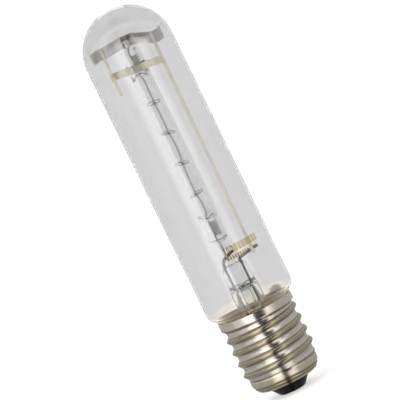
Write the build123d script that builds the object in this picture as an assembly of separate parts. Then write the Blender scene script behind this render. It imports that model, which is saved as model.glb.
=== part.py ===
from build123d import *
from math import acos, asin, atan2, cos, degrees, hypot, pi, radians, sin, sqrt, tan
import os

# Tubular double-envelope halogen lamp with a giant screw cap, in millimetres.
# Z runs along the lamp, dome up. The origin is the middle of the centre contact's underside.

# Outer bulb
overall_length = 209.5
bulb_diameter = 46.0
bulb_wall = 1.0
shoulder_radius = 5.0
neck_blend_radius = 11.7

# Screw cap
cap_height = 45.9
cap_wall = 0.5
cap_floor_height = 5.5
cap_floor_ring = 0.5
cap_hole_diameter = 21.8
rim_band = 4.2
rim_step = 0.05
thread_diameter = 39.3
thread_depth = 1.75
thread_pitch = 6.35
thread_crest_width = 1.5
thread_flank_angle = 40.0
thread_start_rise = 6.2
thread_start_angle = -90.0
thread_fade_rise = 6.9
thread_fade_length = 4.0

# Cap insulator and centre contact
insulator_rise = 0.6
insulator_lip = 0.7
insulator_flange_height = 4.0
contact_diameter = 12.4
contact_thickness = 1.3
contact_chamfer = 0.4
contact_hole_diameter = 3.4

# Capping cement
cement_gap = 0.8
cement_recess = 0.4
cement_depth = 12.0

# Glass stem
stem_diameter = 15.0
stem_wall = 1.2
stem_bell_drop = 5.9
press_rise = 11.1
press_height = 13.0
press_inset = 0.6
press_thickness = 5.6
press_shoulder_radius = 3.6
press_blend = 4.0
exhaust_diameter = 6.0
exhaust_wall = 0.9
exhaust_length = 36.0
exhaust_tip_length = 2.0
exhaust_port_diameter = 2.8
exhaust_port_rise = 2.5

# Stem leads
lead_spacing = 8.4
lead_joint_rise = 1.6
lead_bend = 1.0
lead_stand = 0.2
lead_bend_share = 0.4
inner_lead_diameter = 1.6
cross_wire_start = 2.9
cross_wire_height = 3.4
cross_wire_rise = 2.3
cross_wire_reach = 3.0
arm_height = 1.2
arm_rise = 2.9
arm_overhang = 2.6
outer_lead_diameter = 1.2
side_lead_drop = 4.2
side_lead_fall = 2.0
side_lead_tail = 6.0
centre_lead_rise = 7.0
centre_lead_fall = 5.6

# Quartz burner
burner_rise = 12.7
burner_reach = 1.1
burner_diameter = 10.0
burner_wall = 1.3
pinch_length = 12.2
pinch_spread = 0.4
pinch_thickness = 4.4
pinch_blend = 3.0
bore_end_wall = 0.8
bore_end_radius = 2.6
foil_width = 3.6
foil_length = 7.4
foil_thickness = 0.06
foil_inset = 1.3
foil_offset = 1.2
burner_lead_diameter = 0.9
burner_lead_overlap = 1.6
lower_lead_rise = 2.3

# Filament and its supports
coil_diameter = 1.2
coil_end_gap = 1.0
leg_diameter = 0.5
leg_overlap = 1.0
support_wire = 0.3
support_count = 4
support_lower_gap = 13.4
support_upper_gap = 16.0
support_hook = 0.85
support_spread = 0.5
support_steps_per_turn = 12

# Frame that carries the burner
frame_turn = 42.0
frame_lean = 0.55
frame_clearance = 4.6
frame_wire_diameter = 1.6
rod_rise = 2.0
wire_overhang = 2.9
post_below_strap = 10.1

# Spring strip that steadies the frame in the dome
spring_thickness = 0.3
spring_height = 6.0
spring_rise = 5.3
spring_left_drop = 1.7
spring_right_drop = 3.3
spring_flat = 3.0
spring_left_overhang = 2.4
spring_right_overhang = 0.8
spring_leaf_turn = 71.0
spring_leaf_bow = 2.4

# Crimped sleeve on the upper burner lead
sleeve_diameter = 3.2
sleeve_length = 6.2
sleeve_rise = 0.8

# Straps that clamp the upper pinch
strap_thickness = 0.4
strap_height = 3.7
strap_drop = 10.1
strap_overhang = 1.4
strap_step = 1.4
strap_hook = 0.9
rear_strap_tab = 3.6

# Fits
weld_gap = 0.02
slip_gap = 0.05
glass_gap = 0.3
rim_gap = 0.24

# Angles of the short straight runs that curved profiles are drawn with
fine_facet = 10.0
plain_facet = 18.0
coarse_facet = 30.0


def arc_points(x, z, radius, start, end, facet):
    """Points along an arc about a centre, between two angles in degrees."""
    steps = max(1, round(abs(end - start) / facet))
    angles = [radians(start + (end - start) * step / steps) for step in range(steps + 1)]
    points = [(x + radius * cos(a), z + radius * sin(a)) for a in angles]
    return [(round(px, 6), round(pz, 6)) for px, pz in points]


def turned(points):
    """A solid of revolution about Z from a closed profile in the XZ plane."""
    return revolve(Plane.XZ * make_face(Polyline(*points, close=True)), Axis.Z)


def prism(plane, points, depth):
    """A prism with a closed outline in an upright plane, reaching equally to both sides."""
    return extrude(plane * make_face(Polyline(*points, close=True)), depth, both=True)


def bar(diameter, bottom, top, x=0, y=0):
    """An upright round bar between two heights."""
    solid = Cylinder(diameter / 2, top - bottom, align=(Align.CENTER, Align.CENTER, Align.MIN))
    return Pos(x, y, bottom) * solid


def bent_wire(points, diameter):
    """A round wire along straight runs, with each corner taken off by a short run."""
    points = [Vector(*point) for point in points]
    line = [points[0]]
    for before, corner, after in zip(points, points[1:], points[2:]):
        back = before - corner
        on = after - corner
        bend = min(lead_bend, lead_bend_share * min(back.length, on.length))
        line.append(corner + back.normalized() * bend)
        line.append(corner + on.normalized() * bend)
    path = Polyline(*line, points[-1])
    start = Plane(origin=path @ 0, z_dir=path % 0)
    return sweep(start * Circle(diameter / 2), path=path, transition=Transition.RIGHT)


def upright_strip(line, thickness, middle, height):
    """A strip of sheet that stands on edge, with its right face along a plan line."""
    plan = line.offset_2d(thickness, kind=Kind.INTERSECTION, side=Side.LEFT, closed=True)
    return extrude(Pos(0, 0, middle - height / 2) * make_face(plan.edges()), height, dir=(0, 0, 1))


parts = {}

# Heights and radii that several pieces share
bulb_radius = bulb_diameter / 2
dome_height = overall_length - bulb_radius
major = thread_diameter / 2
minor = major - thread_depth
rim_radius = major + rim_step
neck_radius = minor - cap_wall - cement_gap
stem_radius = stem_diameter / 2
stem_bell_height = cap_height - stem_bell_drop
bell_radius = neck_radius - bulb_wall - stem_radius
neck_bottom = stem_bell_height - bell_radius - stem_wall
press_bottom = cap_height + press_rise
press_top = press_bottom + press_height
lead_joint_height = press_bottom + lead_joint_rise
lead_x = lead_spacing / 2
burner_bottom = press_top + burner_rise
burner_top = dome_height + burner_reach
strap_middle = burner_top - strap_drop
spring_middle = dome_height + spring_rise
spring_left = spring_middle - spring_left_drop
spring_right = spring_middle - spring_right_drop
frame_reach = bulb_radius - bulb_wall - frame_clearance
frame_wire_radius = frame_wire_diameter / 2
inner_lead_radius = inner_lead_diameter / 2
burner_lead_radius = burner_lead_diameter / 2

# Outer bulb: a straight tube blown with a round dome and a neck that clears the cap's rim.
rim_room = rim_radius - cap_wall - rim_gap - neck_radius
neck_height = cap_height - sqrt(neck_blend_radius**2 - (neck_blend_radius - rim_room) ** 2)
shoulder_slope = acos(1 - (bulb_radius - neck_radius) / (neck_blend_radius + shoulder_radius))
shoulder_height = neck_height + (neck_blend_radius + shoulder_radius) * sin(shoulder_slope)


def bulb_solid(inset, bottom, facet):
    """The solid inside the bulb's outer surface, taken inwards by an inset."""
    r = bulb_radius - inset
    neck = neck_radius - inset
    convex = shoulder_radius - inset
    concave = neck_blend_radius + inset
    slope = degrees(shoulder_slope)
    blend = arc_points(neck + concave, neck_height, concave, 180, 180 - slope, plain_facet)
    shoulder = arc_points(r - convex, shoulder_height, convex, -slope, 0, facet)
    dome = arc_points(0, dome_height, r, 0, 90, facet)
    return turned([(0, bottom), (neck, bottom), *blend, *shoulder[1:], *dome])


bulb_outside = bulb_solid(0, neck_bottom, fine_facet)
parts["outer_bulb"] = bulb_outside - bulb_solid(bulb_wall, neck_bottom - bulb_wall, plain_facet)

# Cap shell: drawn from sheet, with a plain rim band, a rolled thread and a rounded floor.
# The thread is swept in runs of about one turn, each carrying on from the one below.
cap_hole = cap_hole_diameter / 2
cap_corner_radius = minor - cap_hole - cap_floor_ring
flank = radians(thread_flank_angle)
band_bottom = cap_height - rim_band
band_step_bottom = band_bottom - (rim_radius - minor) * tan(flank)


def cap_solid(inset, top, facet):
    """The solid inside the cap's plain walls, taken inwards by an inset."""
    r = minor - inset
    corner = cap_corner_radius - inset
    corner_height = cap_floor_height + cap_corner_radius
    rounding = arc_points(r - corner, corner_height, corner, -90, 0, facet)
    band = rim_radius - inset
    walls = [(r, band_step_bottom), (band, band_bottom), (band, top)]
    return turned([(0, cap_floor_height + inset), *rounding, *walls, (0, top)])


cap_outside = cap_solid(0, cap_height, plain_facet)
cap_inside = cap_solid(cap_wall, cap_height + cap_wall, coarse_facet)
cap_inside += bar(cap_hole_diameter, cap_floor_height - cap_wall, cap_height)

ridge_root = minor - cap_wall / 2
half_crest = thread_crest_width / 2
half_root = half_crest + (major - ridge_root) * tan(flank)
ridge_section = Polyline(
    (major, half_crest),
    (ridge_root, half_root),
    (ridge_root, -half_root),
    (major, -half_crest),
    close=True,
)
thread_start = cap_floor_height + thread_start_rise
thread_rise = band_bottom - thread_start
thread_runs = round(thread_rise / thread_pitch)
run_rise = thread_rise / thread_runs
run_path = Helix(thread_pitch, run_rise, major)
ridge_run = sweep(Plane.XZ * make_face(ridge_section), path=run_path, is_frenet=True)
fade_bottom = cap_floor_height + thread_fade_rise
fade_top = fade_bottom + thread_fade_length
run_out = turned(
    [
        (minor + slip_gap, cap_floor_height),
        (minor + slip_gap, fade_bottom),
        (major + slip_gap, fade_top),
        (major + rim_band, fade_top),
        (major + rim_band, cap_floor_height),
    ]
)
cap_shell = cap_outside
for number in range(thread_runs):
    rise = number * run_rise
    turn = thread_start_angle + 360 * rise / thread_pitch
    cap_shell += Pos(0, 0, thread_start + rise) * Rot(0, 0, turn) * ridge_run - run_out
parts["cap_shell"] = cap_shell - cap_inside

# Cap insulator: black glass poured through the cap's floor, with a hole for the centre lead.
contact_radius = contact_diameter / 2
contact_hole = contact_hole_diameter / 2
lead_hole = outer_lead_diameter / 2 + slip_gap
waist = cap_hole - slip_gap
flange_bottom = cap_floor_height + cap_wall
flange_top = flange_bottom + insulator_flange_height
flange_radius = cap_hole + cap_floor_ring - slip_gap
parts["cap_insulator"] = turned(
    [
        (lead_hole, contact_thickness),
        (contact_radius, contact_thickness),
        (contact_radius, insulator_rise),
        (contact_radius + insulator_lip, insulator_rise),
        (waist, cap_floor_height),
        (waist, flange_bottom),
        (flange_radius, flange_bottom),
        (flange_radius, flange_top),
        (lead_hole, flange_top),
    ]
)

# Centre contact: a flat plate set in the insulator, with the lead soldered in its middle.
parts["centre_contact"] = turned(
    [
        (contact_hole, 0),
        (contact_radius - contact_chamfer, 0),
        (contact_radius, contact_chamfer),
        (contact_radius, contact_thickness),
        (contact_hole, contact_thickness),
    ]
)
parts["contact_solder"] = bar(contact_hole_diameter, 0, contact_thickness)

# Capping cement: a ring between the bulb's neck and the inside of the cap.
cement_top = cap_height - cement_recess
cement = cap_solid(cap_wall, cement_top, coarse_facet)
cement &= bar(2 * rim_radius, cement_top - cement_depth, cement_top)
parts["capping_cement"] = cement - bulb_outside

# Glass stem: a belled tube pressed flat round the leads, with the exhaust tube inside it.
stem_bore = stem_radius - stem_wall
bell_edge = stem_radius + bell_radius
press_start = press_bottom + stem_wall
press_blend_top = press_start + press_blend
bell_outside = arc_points(bell_edge, stem_bell_height, bell_radius, 180, 270, coarse_facet)
bell_inside = arc_points(bell_edge, stem_bell_height, bell_radius + stem_wall, 270, 180, coarse_facet)
stem = turned(
    [
        (0, press_start),
        (stem_radius, press_start),
        *bell_outside,
        *bell_inside,
        (stem_bore, press_bottom),
        (0, press_bottom),
    ]
)
half_width = stem_radius - press_inset
half_press = press_thickness / 2
corner_x = half_width - press_shoulder_radius
corner_z = press_top - press_shoulder_radius
right_corner = arc_points(corner_x, corner_z, press_shoulder_radius, 0, 90, coarse_facet)
left_corner = arc_points(-corner_x, corner_z, press_shoulder_radius, 90, 180, coarse_facet)
press_front = [
    (-stem_radius, press_start),
    (stem_radius, press_start),
    (half_width, press_blend_top),
    *right_corner,
    *left_corner,
    (-half_width, press_blend_top),
]
press_side = [
    (-stem_radius, press_start),
    (stem_radius, press_start),
    (half_press, press_blend_top),
    (half_press, press_top),
    (-half_press, press_top),
    (-half_press, press_blend_top),
]
press = bar(stem_diameter, press_start, press_top)
press &= prism(Plane.XZ, press_front, stem_diameter)
press &= prism(Plane.YZ, press_side, stem_diameter)
exhaust_radius = exhaust_diameter / 2
exhaust_tip = press_bottom - exhaust_length
exhaust_bore = exhaust_radius - exhaust_wall
exhaust = turned(
    [
        (0, exhaust_tip),
        (exhaust_bore, exhaust_tip),
        (exhaust_radius, exhaust_tip + exhaust_tip_length),
        (exhaust_radius, press_bottom),
        (0, press_bottom),
    ]
)
stem += press + exhaust
port_height = press_bottom + exhaust_port_rise
stem -= bar(2 * exhaust_bore, exhaust_tip + exhaust_tip_length, port_height)
stem -= Pos(0, 0, port_height) * Rot(90, 0, 0) * bar(exhaust_port_diameter, 0, stem_diameter)
for x in (-lead_x, lead_x):
    stem -= bar(inner_lead_diameter, lead_joint_height, press_top + press_blend, x)
    stem -= bar(outer_lead_diameter, press_bottom, lead_joint_height, x)
parts["glass_stem"] = stem

# Inner leads: stiff wires from the press to the burner's lead and to the long frame rod.
cross_y = burner_lead_radius + weld_gap + inner_lead_radius
cross_z = press_top + cross_wire_height
parts["inner_lead_left"] = bent_wire(
    [
        (-lead_x, 0, lead_joint_height),
        (-lead_x, 0, press_top + lead_stand + lead_bend),
        (-cross_wire_start, cross_y, cross_z),
        (cross_wire_reach, cross_y, cross_z + cross_wire_rise),
    ],
    inner_lead_diameter,
)
arm_z = press_top + arm_height
rod_shift = (spring_middle - arm_z - arm_rise) * tan(radians(frame_lean))
rod_x = frame_reach * cos(radians(frame_turn)) - rod_shift
rod_y = -frame_reach * sin(radians(frame_turn))
rod_distance = hypot(rod_x - lead_x, rod_y)
arm_offset = frame_wire_radius + weld_gap + inner_lead_radius
arm_heading = atan2(rod_y, rod_x - lead_x) + asin(arm_offset / rod_distance)
arm_to_rod = sqrt(rod_distance**2 - arm_offset**2)
arm_length = arm_to_rod + arm_overhang
arm_x = lead_x + arm_length * cos(arm_heading)
arm_y = arm_length * sin(arm_heading)
parts["inner_lead_right"] = bent_wire(
    [
        (lead_x, 0, lead_joint_height),
        (lead_x, 0, arm_z),
        (arm_x, arm_y, arm_z + arm_rise * arm_length / arm_to_rod),
    ],
    inner_lead_diameter,
)

# Outer leads: softer wires from the press to the contact and to the inside of the cap.
centre_lead_top = flange_top + centre_lead_rise
parts["outer_lead_centre"] = bent_wire(
    [
        (-lead_x, 0, lead_joint_height),
        (-lead_x, 0, centre_lead_top),
        (0, 0, centre_lead_top - centre_lead_fall),
        (0, 0, contact_thickness),
    ],
    outer_lead_diameter,
)
side_lead_x = minor - cap_wall - weld_gap - outer_lead_diameter / 2
side_lead_top = neck_bottom - side_lead_drop
side_lead_landing = side_lead_top - side_lead_fall
parts["outer_lead_side"] = bent_wire(
    [
        (lead_x, 0, lead_joint_height),
        (lead_x, 0, side_lead_top),
        (side_lead_x, 0, side_lead_landing),
        (side_lead_x, 0, side_lead_landing - side_lead_tail),
    ],
    outer_lead_diameter,
)

# The frame and the burner are drawn upright with the frame along X, then turned and leaned to their place.
framed = {}

# Frame: a long rod up one side and a short post opposite it.
rod_bottom = press_top + rod_rise
rod_top = spring_right + wire_overhang
post_top = spring_left + wire_overhang
framed["frame_rod"] = bar(frame_wire_diameter, rod_bottom, rod_top, frame_reach)
framed["frame_post"] = bar(frame_wire_diameter, strap_middle - post_below_strap, post_top, -frame_reach)

# Spring strip: runs behind both wires, and its two leaves curl round to the glass.
spring_y = frame_wire_radius + weld_gap
sleeve_y = sleeve_diameter / 2 + weld_gap
spring_left_x = -frame_reach - spring_left_overhang
spring_right_x = frame_reach + spring_right_overhang
spring_line = Polyline(
    (spring_left_x, spring_y),
    (-frame_reach + frame_wire_diameter, spring_y),
    (-spring_flat, sleeve_y),
    (spring_flat, sleeve_y),
    (frame_reach - frame_wire_diameter, spring_y),
    (spring_right_x, spring_y),
)
spring_slope = [
    (spring_left_x - spring_thickness, spring_left),
    (-frame_reach, spring_left),
    (-spring_flat, spring_middle),
    (spring_flat, spring_middle),
    (frame_reach, spring_right),
    (spring_right_x + spring_thickness, spring_right),
]
spring_outline = [(x, z - spring_height / 2) for x, z in spring_slope]
spring_outline += [(x, z + spring_height / 2) for x, z in reversed(spring_slope)]
spring = upright_strip(spring_line, spring_thickness, spring_middle, 3 * spring_height)
spring &= prism(Plane.XZ, spring_outline, bulb_radius)


def spring_leaf(start_x, side, middle):
    """One leaf, bowed outwards from the strip's end to a tip near the glass."""
    top = middle + spring_height / 2
    reach = sqrt((bulb_radius - bulb_wall) ** 2 - max(top - dome_height, 0) ** 2) - glass_gap
    tip_x = side * reach * cos(radians(spring_leaf_turn))
    tip_y = side * reach * sin(radians(spring_leaf_turn))
    chord = hypot(tip_x - start_x, tip_y - spring_y)
    bow_x = (start_x + tip_x) / 2 + side * spring_leaf_bow * abs(tip_y - spring_y) / chord
    bow_y = (spring_y + tip_y) / 2 + side * spring_leaf_bow * abs(tip_x - start_x) / chord
    line = ThreePointArc((start_x, spring_y), (bow_x, bow_y), (tip_x, tip_y))
    return upright_strip(Wire(line), spring_thickness, middle, spring_height)


spring += spring_leaf(spring_left_x, -1, spring_left)
spring += spring_leaf(spring_right_x, 1, spring_right)
framed["spring_strip"] = spring

# Crimped sleeve that joins the burner's upper lead to the strip.
sleeve_bottom = burner_top + sleeve_rise
sleeve_top = sleeve_bottom + sleeve_length
sleeve_hole = bar(burner_lead_diameter, sleeve_bottom, sleeve_top)
framed["lead_sleeve"] = bar(sleeve_diameter, sleeve_bottom, sleeve_top) - sleeve_hole

# Clamp: two straps welded together on both sides of the upper pinch. The front one hooks round the post.
burner_radius = burner_diameter / 2
half_pinch = burner_radius + pinch_spread
flat = pinch_thickness / 2
strap_y = frame_wire_radius + weld_gap
pinch_y = flat + slip_gap
strap_inner = half_pinch + 2 * strap_thickness
strap_outer = strap_inner + strap_step
strap_end = frame_reach + strap_overhang
front_line = Polyline(
    (strap_hook - frame_reach, -strap_y),
    (-frame_reach - strap_y, -strap_y),
    (-frame_reach - strap_y, strap_y),
    (-strap_outer, strap_y),
    (-strap_inner, -pinch_y - strap_thickness),
    (strap_inner, -pinch_y - strap_thickness),
    (strap_outer, -strap_y - strap_thickness),
    (strap_end, -strap_y - strap_thickness),
)
rear_line = Polyline(
    (-strap_outer - rear_strap_tab, strap_y + strap_thickness + weld_gap),
    (-strap_outer, strap_y + strap_thickness + weld_gap),
    (-strap_inner, pinch_y),
    (strap_inner, pinch_y),
    (strap_outer, weld_gap - strap_y),
    (strap_outer + rear_strap_tab, weld_gap - strap_y),
)
framed["clamp_front_strap"] = upright_strip(front_line, strap_thickness, strap_middle, strap_height)
framed["clamp_rear_strap"] = upright_strip(rear_line, strap_thickness, strap_middle, strap_height)

# Burner leads and foils: each lead lies on its foil, inside the pinch.
foil_y = burner_lead_radius + foil_thickness / 2
foil = Box(foil_width, foil_thickness, foil_length)
foil_centre = pinch_length - foil_inset - foil_length / 2
lead_end = foil_centre - foil_length / 2 + burner_lead_overlap
lower_lead_bottom = press_top + lower_lead_rise
framed["lower_foil"] = Pos(foil_offset, foil_y, burner_bottom + foil_centre) * foil
framed["upper_foil"] = Pos(foil_offset, foil_y, burner_top - foil_centre) * foil
framed["lower_burner_lead"] = bar(burner_lead_diameter, lower_lead_bottom, burner_bottom + lead_end)
framed["upper_burner_lead"] = bar(burner_lead_diameter, burner_top - lead_end, sleeve_top)

# Filament: the coil's outline, with a straight leg to the foil at each end.
lower_pinch_end = burner_bottom + pinch_length
upper_pinch_end = burner_top - pinch_length
bore_bottom = lower_pinch_end + bore_end_wall
bore_top = upper_pinch_end - bore_end_wall
coil_bottom = bore_bottom + coil_end_gap
coil_top = bore_top - coil_end_gap
leg_y = burner_lead_radius - leg_diameter / 2
leg_end = foil_centre + foil_length / 2 - leg_overlap
legs = bar(leg_diameter, burner_bottom + leg_end, coil_bottom + coil_end_gap, 0, leg_y)
legs += bar(leg_diameter, coil_top - coil_end_gap, burner_top - leg_end, 0, leg_y)
framed["filament"] = bar(coil_diameter, coil_bottom, coil_top) + legs

# Burner tube: quartz, pinched flat at both ends round the foils and leads.
bore_radius = burner_radius - burner_wall
burner = turned(
    [
        (0, burner_bottom),
        (half_pinch, burner_bottom),
        (half_pinch, lower_pinch_end),
        (burner_radius, lower_pinch_end + pinch_blend),
        (burner_radius, upper_pinch_end - pinch_blend),
        (half_pinch, upper_pinch_end),
        (half_pinch, burner_top),
        (0, burner_top),
    ]
)
swell = burner_diameter - flat
pinch_side = [
    (flat, burner_bottom),
    (flat, lower_pinch_end),
    (swell, lower_pinch_end + 2 * pinch_blend),
    (swell, upper_pinch_end - 2 * pinch_blend),
    (flat, upper_pinch_end),
    (flat, burner_top),
]
burner &= prism(Plane.YZ, pinch_side + [(-y, z) for y, z in reversed(pinch_side)], burner_diameter)
end_x = bore_radius - bore_end_radius
lower_end = arc_points(end_x, bore_bottom + bore_end_radius, bore_end_radius, -90, 0, coarse_facet)
upper_end = arc_points(end_x, bore_top - bore_end_radius, bore_end_radius, 0, 90, coarse_facet)
burner -= turned([(0, bore_bottom), *lower_end, *upper_end, (0, bore_top)])
for name in ("lower_foil", "upper_foil", "lower_burner_lead", "upper_burner_lead"):
    burner -= framed[name]
framed["burner_tube"] = burner - legs

# Filament supports: flat wire spirals that hook round the coil and touch the bore.
support_inner = coil_diameter / 2 + slip_gap + support_wire / 2
support_outer = bore_radius - slip_gap - support_wire / 2
support_steps = round((2 * support_hook + support_spread) * support_steps_per_turn)


def support_edge(offset):
    """One edge of the spiral, as points at even angles."""
    points = []
    for step in range(support_steps + 1):
        turn = step / support_steps_per_turn
        spread = min(max((turn - support_hook) / support_spread, 0), 1)
        radius = support_inner + spread * (support_outer - support_inner) + offset
        points.append((radius * cos(2 * pi * turn), radius * sin(2 * pi * turn)))
    return points


spiral = support_edge(support_wire / 2) + support_edge(-support_wire / 2)[::-1]
support = extrude(make_face(Polyline(*spiral, close=True)), support_wire / 2, both=True)
lowest_support = bore_bottom + support_lower_gap
support_spacing = (bore_top - support_upper_gap - lowest_support) / (support_count - 1)
for number in range(support_count):
    place = Pos(0, 0, lowest_support + number * support_spacing)
    place *= Rot(0, 0, 360 * number / support_count)
    framed[f"filament_support_{number + 1}"] = place * support

# The whole mount leans a little about the spring strip, which holds its top in the middle of the dome.
lean = Pos(0, 0, spring_middle) * Rot(0, frame_lean, 0) * Pos(0, 0, -spring_middle)
for name, solid in framed.items():
    parts[name] = lean * Rot(0, 0, -frame_turn) * solid

os.makedirs("parts", exist_ok=True)
for name, solid in parts.items():
    export_step(solid, f"parts/{name}.step")
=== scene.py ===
from math import acos, cos, degrees, exp, pi, radians, sin, sqrt, tan

import bmesh
import bpy
from mathutils import Matrix, Vector


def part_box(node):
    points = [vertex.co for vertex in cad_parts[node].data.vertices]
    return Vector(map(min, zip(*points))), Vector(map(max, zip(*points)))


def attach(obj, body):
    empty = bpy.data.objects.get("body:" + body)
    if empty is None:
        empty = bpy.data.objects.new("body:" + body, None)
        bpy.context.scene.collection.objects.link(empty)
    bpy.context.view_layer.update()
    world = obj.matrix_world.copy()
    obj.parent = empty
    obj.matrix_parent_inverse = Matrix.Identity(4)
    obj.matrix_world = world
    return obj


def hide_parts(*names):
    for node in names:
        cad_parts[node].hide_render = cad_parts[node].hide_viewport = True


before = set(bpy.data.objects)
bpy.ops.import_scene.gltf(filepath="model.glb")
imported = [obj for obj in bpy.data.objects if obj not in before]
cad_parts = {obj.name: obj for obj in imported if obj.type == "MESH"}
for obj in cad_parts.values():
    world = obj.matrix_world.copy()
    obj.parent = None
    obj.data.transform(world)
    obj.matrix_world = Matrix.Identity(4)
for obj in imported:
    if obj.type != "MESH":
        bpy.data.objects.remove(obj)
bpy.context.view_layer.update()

# Filament: fine tungsten wire wound into one long coil, which hangs along the middle of the burner.
# A thicker straight leg at each end runs into the pinch, where it is welded to a foil.
# The coil is never quite straight: it stands a little aside where it is held, and bows in between.
coil_radius = 0.0006
coil_wire = 0.00011
coil_pitch = 0.00048
coil_points_per_turn = 10
coil_sides = 6
coil_aside_where_held = [0.00005, -0.0005, 0.00005, 0.00037, 0.00015, 0.0005]
coil_bow_between = [0.0006, -0.0001, 0.0007, 0.0002, 0.0001]
leg_radius = 0.00025
leg_length = 0.0041
leg_entry = 0.001
leg_behind = 0.0002
wire_end_softness = 0.3

# The whole mount in the bulb is turned about the lamp's axis and leans a little about the strip in the dome.
frame_turn = radians(-42)
frame_lean = radians(0.55)
strip_height = 0.006
lean_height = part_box("spring_strip")[1].z - strip_height / 2
mount_lean = Matrix.Translation((0, 0, lean_height)) @ Matrix.Rotation(frame_lean, 4, "Y")
mount_lean = mount_lean @ Matrix.Translation((0, 0, -lean_height))
mount_place = mount_lean @ Matrix.Rotation(frame_turn, 4, "Z")


def clamped(share):
    """A share held between nought and one."""
    return min(max(share, 0), 1)


def spaced(start, end, steps):
    """Evenly spaced values from a start to an end."""
    return [start + (end - start) * step / steps for step in range(steps + 1)]


def straight(start, end):
    """The points of a straight wire."""
    return [start, (start + end) / 2, end]


def add_rings(shape, rings):
    """Joins rings of corners, one after the other, into a skin of four-sided faces."""
    for lower, upper in zip(rings, rings[1:]):
        for side in range(len(lower)):
            after = (side + 1) % len(lower)
            shape.faces.new((lower[side], lower[after], upper[after], upper[side]))


def add_wire(shape, path, radius, sides=12):
    """Adds a round wire along close-set points, with its cut ends slightly rounded."""
    softening = wire_end_softness * radius
    start = path[0] + (path[1] - path[0]).normalized() * softening
    end = path[-1] + (path[-2] - path[-1]).normalized() * softening
    line = [path[0], start, *path[1:-1], end, path[-1]]
    radii = [radius - softening, *[radius] * (len(line) - 2), radius - softening]
    across = (line[1] - line[0]).orthogonal().normalized()
    rings = []
    for index, point in enumerate(line):
        before = line[max(index - 1, 0)]
        after = line[min(index + 1, len(line) - 1)]
        along = (after - before).normalized()
        across = (across - along * across.dot(along)).normalized()
        other = along.cross(across)
        ring = []
        for side in range(sides):
            angle = 2 * pi * side / sides
            offset = cos(angle) * across + sin(angle) * other
            ring.append(shape.verts.new(point + radii[index] * offset))
        rings.append(ring)
    add_rings(shape, rings)
    shape.faces.new(rings[0][::-1])
    shape.faces.new(rings[-1])


def finished(name, shape, sharp_angle=50, place=None):
    """Makes a piece that rides on the lamp, smooth but for its sharp edges, and set in its place."""
    if place:
        shape.transform(place)
    mesh = bpy.data.meshes.new(name)
    shape.to_mesh(mesh)
    shape.free()
    mesh.shade_smooth()
    mesh.set_sharp_from_angle(angle=radians(sharp_angle))
    made = bpy.data.objects.new(name, mesh)
    bpy.context.collection.objects.link(made)
    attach(made, "root")
    return made


def give(piece, material):
    """Puts one material all over a piece."""
    if not piece.material_slots:
        piece.data.materials.append(material)
    for place in piece.material_slots:
        place.material = material


def add_node(tree, kind, inputs=None, **settings):
    """Adds a node with its settings. Each input named is set to a value, or linked to a socket."""
    made = tree.nodes.new("ShaderNode" + kind)
    for setting, choice in settings.items():
        setattr(made, setting, choice)
    for label, value in (inputs or {}).items():
        if isinstance(value, bpy.types.NodeSocket):
            tree.links.new(value, made.inputs[label])
        else:
            made.inputs[label].default_value = value
    return made


def new_group(name, inputs, outputs):
    """Starts a shader node group with named sockets. Gives it with its input and output nodes."""
    group = bpy.data.node_groups.new(name, "ShaderNodeTree")
    for label, kind, value in inputs:
        socket = group.interface.new_socket(name=label, in_out="INPUT", socket_type=kind)
        socket.default_value = value
    for label, kind in outputs:
        group.interface.new_socket(name=label, in_out="OUTPUT", socket_type=kind)
    return group, group.nodes.new("NodeGroupInput"), group.nodes.new("NodeGroupOutput")


def worked_surface_group():
    """Drawing, rolling and handling marks: a noise that can be stretched into lines along any way."""
    inputs = [
        ("Stretch", "NodeSocketVector", (1000.0, 1000.0, 1000.0)),
        ("Low", "NodeSocketFloat", 0.2),
        ("High", "NodeSocketFloat", 0.4),
    ]
    outputs = [("Value", "NodeSocketFloat"), ("Height", "NodeSocketFloat")]
    group, given, made = new_group("worked_surface", inputs, outputs)
    point = add_node(group, "TexCoord").outputs["Object"]
    ways = {0: point, 1: given.outputs["Stretch"]}
    stretched = add_node(group, "VectorMath", ways, operation="MULTIPLY").outputs["Vector"]
    noise = add_node(group, "TexNoise", {"Vector": stretched, "Scale": 1.0, "Detail": 3.0}).outputs["Fac"]
    taken = {"Value": noise, "From Min": 0.32, "From Max": 0.68}
    wanted = {"To Min": given.outputs["Low"], "To Max": given.outputs["High"]}
    spread = add_node(group, "MapRange", {**taken, **wanted}).outputs["Result"]
    group.links.new(spread, made.inputs["Value"])
    group.links.new(noise, made.inputs["Height"])
    return group


def tarnish_group():
    """Two tones of one metal, mixed in soft patches."""
    inputs = [
        ("Clean", "NodeSocketColor", (0.6, 0.6, 0.6, 1.0)),
        ("Tarnished", "NodeSocketColor", (0.4, 0.38, 0.3, 1.0)),
        ("Scale", "NodeSocketFloat", 300.0),
        ("Amount", "NodeSocketFloat", 0.5),
    ]
    group, given, made = new_group("tarnish", inputs, [("Color", "NodeSocketColor")])
    point = add_node(group, "TexCoord").outputs["Object"]
    patches = {"Vector": point, "Scale": given.outputs["Scale"], "Detail": 4.0}
    noise = add_node(group, "TexNoise", patches).outputs["Fac"]
    taken = {"Value": noise, "From Min": 0.35, "From Max": 0.7, "To Max": given.outputs["Amount"]}
    spread = add_node(group, "MapRange", taken).outputs["Result"]
    tones = {"Factor": spread, "A": given.outputs["Clean"], "B": given.outputs["Tarnished"]}
    mix = add_node(group, "Mix", tones, data_type="RGBA")
    group.links.new(mix.outputs["Result"], made.inputs["Color"])
    return group


worked_surface = worked_surface_group()
tarnish = tarnish_group()
metal_relief_strength = 0.4
fine_relief = 0.00001


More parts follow.
